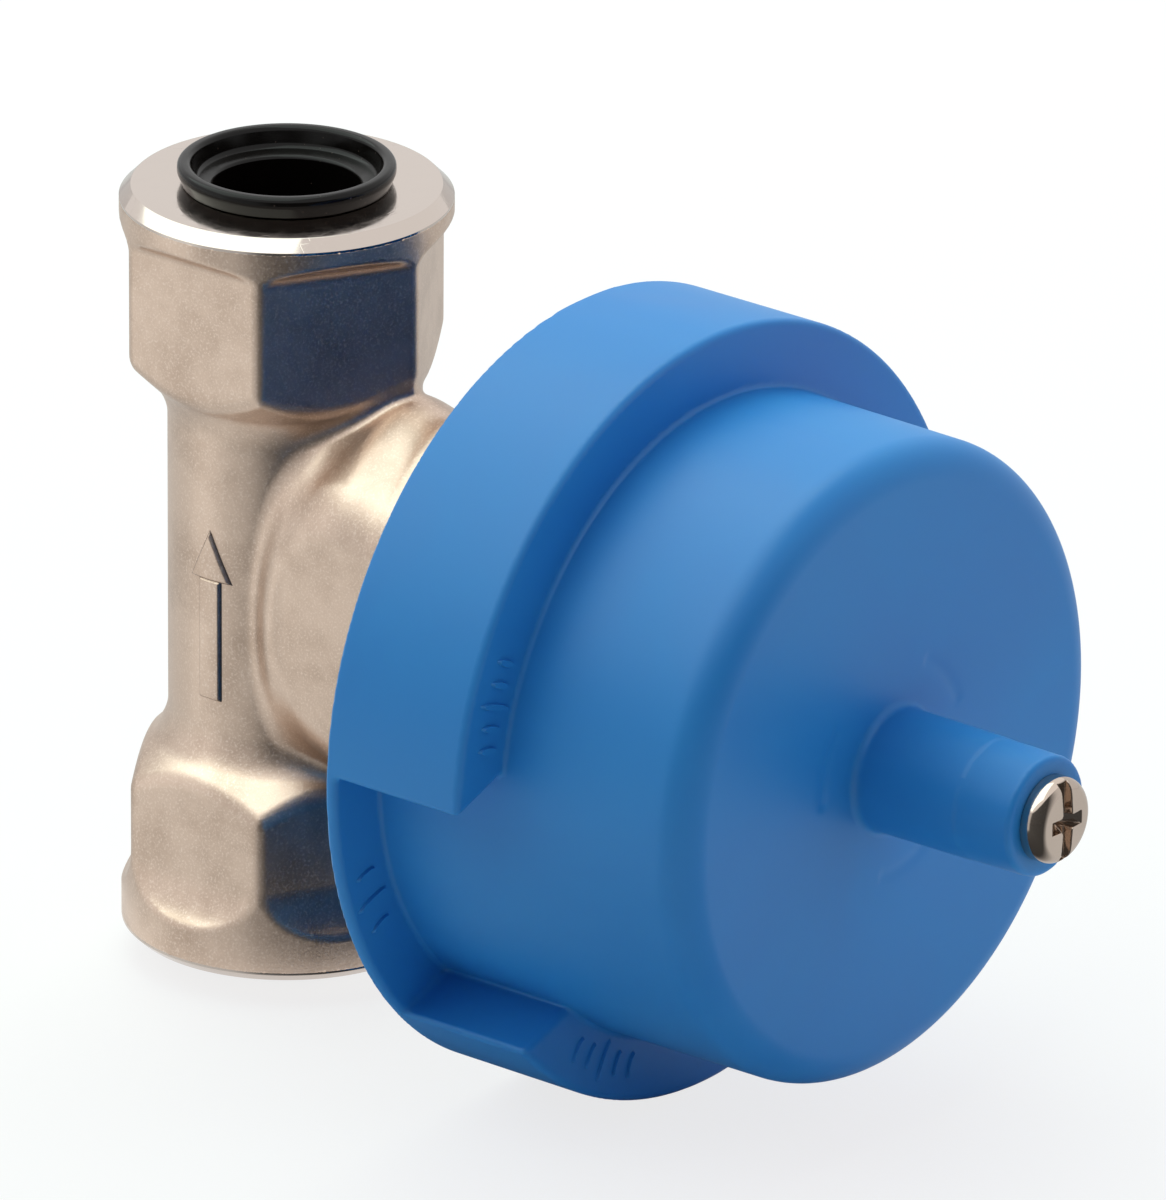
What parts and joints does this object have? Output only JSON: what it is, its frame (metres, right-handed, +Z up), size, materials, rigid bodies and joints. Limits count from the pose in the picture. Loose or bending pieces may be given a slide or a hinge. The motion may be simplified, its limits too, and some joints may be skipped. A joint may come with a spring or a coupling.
{
  "type": "concealed volume control valve",
  "caption": "Nickel-plated in-line shut-off valve body with hexagon ends, a black plug in the outlet, and a blue plaster guard cup on its spindle marking the depth in the wall.",
  "frame": {"origin": "centre of the inlet port on the body's bottom face", "axes": "+Z up the tube from inlet to outlet, -Y along the headwork's spindle towards the front of the guard"},
  "size_m": [0.088, 0.1286, 0.0936],
  "materials": {
    "nickel_brass": "blasted and nickel plated forging, machined port faces",
    "brass": "turned brass",
    "black_plastic": "gloss black moulding",
    "blue_plastic": "satin blue moulding",
    "rubber": "black nitrile rubber",
    "ceramic": "ground alumina",
    "steel": "stainless steel",
    "nickel_steel": "nickel plated steel",
    "white_plastic": "white low-friction plastic"
  },
  "bodies": {
    "valve": {"valve_body": "nickel_brass", "outlet_plug": "black_plastic", "seat_seal": "rubber", "seal_support_ring": "steel", "fixed_disc": "ceramic", "bonnet": "brass", "bonnet_o_ring": "rubber"},
    "spindle_group": {"turning_disc": "ceramic", "spindle": "brass", "spindle_o_ring_lower": "rubber", "spindle_o_ring_upper": "rubber", "slide_ring": "white_plastic", "spindle_circlip": "steel", "spindle_extension": "brass", "extension_screw": "steel", "plaster_guard": "blue_plastic", "guard_screw": "nickel_steel"}
  },
  "joints": [
    {"name": "spindle_turn", "type": "hinge", "parent": "valve", "child": "spindle_group", "pos_m": [0, 0, 0.041], "axis": [0, -1, 0], "range_deg": [0, 90]}
  ]
}
